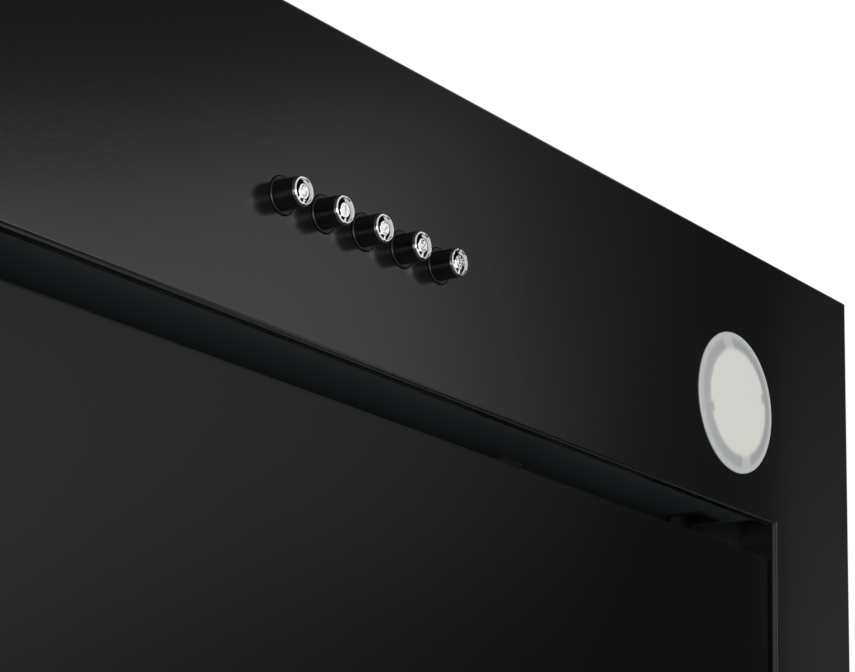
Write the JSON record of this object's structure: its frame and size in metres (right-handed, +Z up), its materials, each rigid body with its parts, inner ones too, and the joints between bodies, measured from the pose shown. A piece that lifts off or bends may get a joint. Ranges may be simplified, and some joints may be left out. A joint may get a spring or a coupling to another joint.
{
  "type": "built-in range hood",
  "caption": "Box-shaped kitchen hood with a black underside plate, push buttons, round lamps, a hinged suction panel over grease filters, a blower and a round duct collar.",
  "frame": {"origin": "on the outer face of the top cover, in the middle of the four fixing holes", "axes": "+Z up along the duct collar, -Y towards the cook, +X to the cook's right"},
  "size_m": [0.6, 0.3, 0.3081],
  "materials": {
    "black_painted_steel": "satin black powder coat",
    "galvanised_steel": "galvanised sheet, dull spangle",
    "zinc_plated_steel": "bright zinc plate",
    "bright_steel": "ground",
    "anodised_aluminium": "satin anodised",
    "aluminium_mesh": "expanded mesh, bright",
    "cast_aluminium": "die cast, matt",
    "black_nylon": "moulded, matt black",
    "white_nylon": "moulded, natural",
    "gloss_black_plastic": "polished black",
    "satin_black_plastic": "moulded, satin black",
    "chrome": "chromed plastic",
    "opal_plastic": "frosted opal",
    "led_board": "white solder mask",
    "grey_polypropylene": "moulded, dark grey",
    "motor_enamel": "dark grey enamel",
    "sintered_bronze": "sintered",
    "ferrite": "sintered ferrite",
    "driver_plastic": "moulded, light grey"
  },
  "bodies": {
    "root": {"fascia_plate": "black_painted_steel", "filter_rail_front": "black_painted_steel", "filter_rail_rear": "black_painted_steel", "magnet_brackets": "black_painted_steel", "side_panel_left": "galvanised_steel", "side_panel_right": "galvanised_steel", "front_panel": "galvanised_steel", "back_panel": "galvanised_steel", "top_cover": "galvanised_steel", "switch_bracket": "galvanised_steel", "motor_bracket": "galvanised_steel", "capacitor_clip": "galvanised_steel", "cover_screws": "zinc_plated_steel", "collar_screws": "zinc_plated_steel", "flap_rod": "bright_steel", "filter_frame_left": "anodised_aluminium", "filter_frame_right": "anodised_aluminium", "filter_mesh_left": "aluminium_mesh", "filter_mesh_right": "aluminium_mesh", "lamp_can_left": "cast_aluminium", "lamp_can_right": "cast_aluminium", "latch_keeper_left": "black_nylon", "latch_keeper_right": "black_nylon", "cable_gland": "black_nylon", "terminal_box": "black_nylon", "duct_collar": "black_nylon", "outlet_transition": "black_nylon", "pivot_bushes": "white_nylon", "button_bushes": "satin_black_plastic", "switch_body": "satin_black_plastic", "lamp_lens_left": "opal_plastic", "lamp_lens_right": "opal_plastic", "led_board_left": "led_board", "led_board_right": "led_board", "blower_casing_left": "grey_polypropylene", "blower_casing_right": "grey_polypropylene", "motor_body": "motor_enamel", "motor_bearings": "sintered_bronze", "catch_magnets": "ferrite", "led_driver": "driver_plastic", "motor_capacitor": "driver_plastic"},
    "panel": {"suction_panel": "black_painted_steel", "panel_pivot_pins": "zinc_plated_steel", "strike_plates": "zinc_plated_steel"},
    "flap_front": {"flap_front": "black_nylon"},
    "flap_rear": {"flap_rear": "black_nylon"},
    "wheel": {"blower_wheel": "grey_polypropylene", "motor_shaft": "bright_steel"},
    "latch_left": {"filter_latch_left": "black_nylon"},
    "latch_right": {"filter_latch_right": "black_nylon"},
    "button_off": {"button_barrel_off": "gloss_black_plastic", "button_cap_off": "chrome"},
    "button_low": {"button_barrel_low": "gloss_black_plastic", "button_cap_low": "chrome"},
    "button_middle": {"button_barrel_middle": "gloss_black_plastic", "button_cap_middle": "chrome"},
    "button_high": {"button_barrel_high": "gloss_black_plastic", "button_cap_high": "chrome"},
    "button_light": {"button_barrel_light": "gloss_black_plastic", "button_cap_light": "chrome"}
  },
  "joints": [
    {"name": "panel_swing", "type": "hinge", "parent": "root", "child": "panel", "pos_m": [0, 0.099, -0.2465], "axis": [1, 0, 0], "range_deg": [0, 85]},
    {"name": "flap_front_swing", "type": "hinge", "parent": "root", "child": "flap_front", "pos_m": [0, 0.025, 0.00875], "axis": [-1, 0, 0], "range_deg": [0, 70]},
    {"name": "flap_rear_swing", "type": "hinge", "parent": "root", "child": "flap_rear", "pos_m": [0, 0.025, 0.00875], "axis": [1, 0, 0], "range_deg": [0, 70]},
    {"name": "wheel_spin", "type": "hinge", "parent": "root", "child": "wheel", "pos_m": [0, -0.032, -0.109], "axis": [1, 0, 0], "continuous": true},
    {"name": "latch_left_slide", "type": "slide", "parent": "root", "child": "latch_left", "axis": [0, 1, 0], "range_m": [0, 0.006], "stiffness_N_per_m": 400},
    {"name": "latch_right_slide", "type": "slide", "parent": "root", "child": "latch_right", "axis": [0, 1, 0], "range_m": [0, 0.006], "stiffness_N_per_m": 400},
    {"name": "button_off_press", "type": "slide", "parent": "root", "child": "button_off", "axis": [0, 0, 1], "range_m": [0, 0.0035], "stiffness_N_per_m": 300},
    {"name": "button_low_press", "type": "slide", "parent": "root", "child": "button_low", "axis": [0, 0, 1], "range_m": [0, 0.0035], "stiffness_N_per_m": 300},
    {"name": "button_middle_press", "type": "slide", "parent": "root", "child": "button_middle", "axis": [0, 0, 1], "range_m": [0, 0.0035], "stiffness_N_per_m": 300},
    {"name": "button_high_press", "type": "slide", "parent": "root", "child": "button_high", "axis": [0, 0, 1], "range_m": [0, 0.0035], "stiffness_N_per_m": 300},
    {"name": "button_light_press", "type": "slide", "parent": "root", "child": "button_light", "axis": [0, 0, 1], "range_m": [0, 0.0035], "stiffness_N_per_m": 300}
  ]
}
